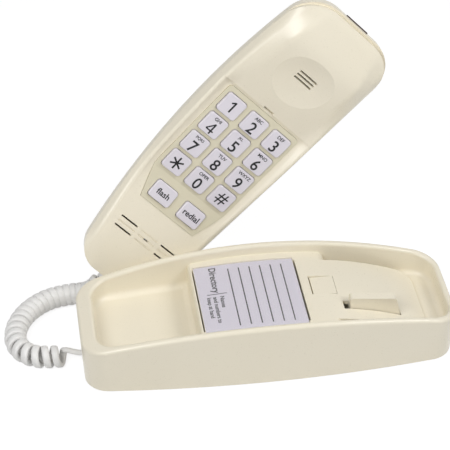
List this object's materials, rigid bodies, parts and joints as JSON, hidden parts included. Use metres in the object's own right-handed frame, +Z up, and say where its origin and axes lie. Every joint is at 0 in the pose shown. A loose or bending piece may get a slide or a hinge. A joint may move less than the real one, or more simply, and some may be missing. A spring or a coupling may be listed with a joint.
{
  "type": "corded phone",
  "caption": "Slim corded landline phone: tray base with hookswitch, card window and wall keyholes, and a keypad handset standing off the hook behind it on a curly cord.",
  "frame": {"origin": "under the middle of the base, on the surface that its feet stand on", "axes": "+X along the base towards the ear end, +Y away from the viewer to the handset, +Z up"},
  "size_m": [0.2563, 0.1271, 0.1819],
  "materials": {
    "ivory_abs": "fine satin moulding",
    "key_plastic": "satin, printed",
    "foot_rubber": "matte",
    "ballast_steel": "plain",
    "board_laminate": "matte",
    "card_paper": "ruled paper",
    "clear_window": "clear plastic",
    "switch_plastic": "matte",
    "socket_plastic": "matte",
    "plug_plastic": "clear, gloss",
    "mat_rubber": "matte",
    "capsule_metal": "drawn",
    "lens_plastic": "translucent",
    "cord_vinyl": "satin vinyl"
  },
  "bodies": {
    "base": {"base_housing": "ivory_abs", "base_cover": "ivory_abs", "rubber_feet": "foot_rubber", "base_weight": "ballast_steel", "base_board": "board_laminate", "directory_card": "card_paper", "card_window": "clear_window", "handset_hook": "ivory_abs", "hookswitch_pin": "ballast_steel", "hookswitch_spring": "ballast_steel", "hookswitch_switch": "switch_plastic", "base_cord_jack": "socket_plastic", "line_jack": "socket_plastic", "base_cord_plug": "plug_plastic", "curly_cord": "cord_vinyl", "base_cord_tail": "cord_vinyl"},
    "handset": {"handset_front_shell": "ivory_abs", "handset_back_shell": "ivory_abs", "keypad_plate": "ivory_abs", "key_mat": "mat_rubber", "handset_board": "board_laminate", "receiver": "switch_plastic", "microphone": "capsule_metal", "indicator_lens": "lens_plastic", "handset_cord_jack": "socket_plastic", "handset_cord_plug": "plug_plastic", "handset_cord_tail": "cord_vinyl"},
    "hookswitch_lever": {"hookswitch_lever": "ivory_abs"},
    "key_1": {"key_1": "key_plastic"},
    "key_2": {"key_2": "key_plastic"},
    "key_3": {"key_3": "key_plastic"},
    "key_4": {"key_4": "key_plastic"},
    "key_5": {"key_5": "key_plastic"},
    "key_6": {"key_6": "key_plastic"},
    "key_7": {"key_7": "key_plastic"},
    "key_8": {"key_8": "key_plastic"},
    "key_9": {"key_9": "key_plastic"},
    "key_star": {"key_star": "key_plastic"},
    "key_0": {"key_0": "key_plastic"},
    "key_hash": {"key_hash": "key_plastic"},
    "key_flash": {"key_flash": "key_plastic"},
    "key_redial": {"key_redial": "key_plastic"}
  },
  "joints": [
    {"name": "handset_lift", "type": "slide", "parent": "base", "child": "handset", "axis": [0, 0, 1], "range_m": [0, 0.15]},
    {"name": "hookswitch_press", "type": "hinge", "parent": "base", "child": "hookswitch_lever", "pos_m": [0.049, -0.0142, 0.024], "axis": [0, 1, 0], "range_deg": [0, 18], "stiffness_Nm_per_rad": 0.04, "springref_deg": -22.92},
    {"name": "key_1_press", "type": "slide", "parent": "handset", "child": "key_1", "axis": [0.0206, 0.9828, -0.1838], "range_m": [0, 0.0012], "stiffness_N_per_m": 500, "springref_m": -0.0006},
    {"name": "key_2_press", "type": "slide", "parent": "handset", "child": "key_2", "axis": [0.0206, 0.9828, -0.1838], "range_m": [0, 0.0012], "stiffness_N_per_m": 500, "springref_m": -0.0006},
    {"name": "key_3_press", "type": "slide", "parent": "handset", "child": "key_3", "axis": [0.0206, 0.9828, -0.1838], "range_m": [0, 0.0012], "stiffness_N_per_m": 500, "springref_m": -0.0006},
    {"name": "key_4_press", "type": "slide", "parent": "handset", "child": "key_4", "axis": [0.0206, 0.9828, -0.1838], "range_m": [0, 0.0012], "stiffness_N_per_m": 500, "springref_m": -0.0006},
    {"name": "key_5_press", "type": "slide", "parent": "handset", "child": "key_5", "axis": [0.0206, 0.9828, -0.1838], "range_m": [0, 0.0012], "stiffness_N_per_m": 500, "springref_m": -0.0006},
    {"name": "key_6_press", "type": "slide", "parent": "handset", "child": "key_6", "axis": [0.0206, 0.9828, -0.1838], "range_m": [0, 0.0012], "stiffness_N_per_m": 500, "springref_m": -0.0006},
    {"name": "key_7_press", "type": "slide", "parent": "handset", "child": "key_7", "axis": [0.0206, 0.9828, -0.1838], "range_m": [0, 0.0012], "stiffness_N_per_m": 500, "springref_m": -0.0006},
    {"name": "key_8_press", "type": "slide", "parent": "handset", "child": "key_8", "axis": [0.0206, 0.9828, -0.1838], "range_m": [0, 0.0012], "stiffness_N_per_m": 500, "springref_m": -0.0006},
    {"name": "key_9_press", "type": "slide", "parent": "handset", "child": "key_9", "axis": [0.0206, 0.9828, -0.1838], "range_m": [0, 0.0012], "stiffness_N_per_m": 500, "springref_m": -0.0006},
    {"name": "key_star_press", "type": "slide", "parent": "handset", "child": "key_star", "axis": [0.0206, 0.9828, -0.1838], "range_m": [0, 0.0012], "stiffness_N_per_m": 500, "springref_m": -0.0006},
    {"name": "key_0_press", "type": "slide", "parent": "handset", "child": "key_0", "axis": [0.0206, 0.9828, -0.1838], "range_m": [0, 0.0012], "stiffness_N_per_m": 500, "springref_m": -0.0006},
    {"name": "key_hash_press", "type": "slide", "parent": "handset", "child": "key_hash", "axis": [0.0206, 0.9828, -0.1838], "range_m": [0, 0.0012], "stiffness_N_per_m": 500, "springref_m": -0.0006},
    {"name": "key_flash_press", "type": "slide", "parent": "handset", "child": "key_flash", "axis": [-0.1092, 0.9453, -0.3073], "range_m": [0, 0.0012], "stiffness_N_per_m": 500, "springref_m": -0.0006},
    {"name": "key_redial_press", "type": "slide", "parent": "handset", "child": "key_redial", "axis": [-0.1092, 0.9453, -0.3073], "range_m": [0, 0.0012], "stiffness_N_per_m": 500, "springref_m": -0.0006}
  ]
}
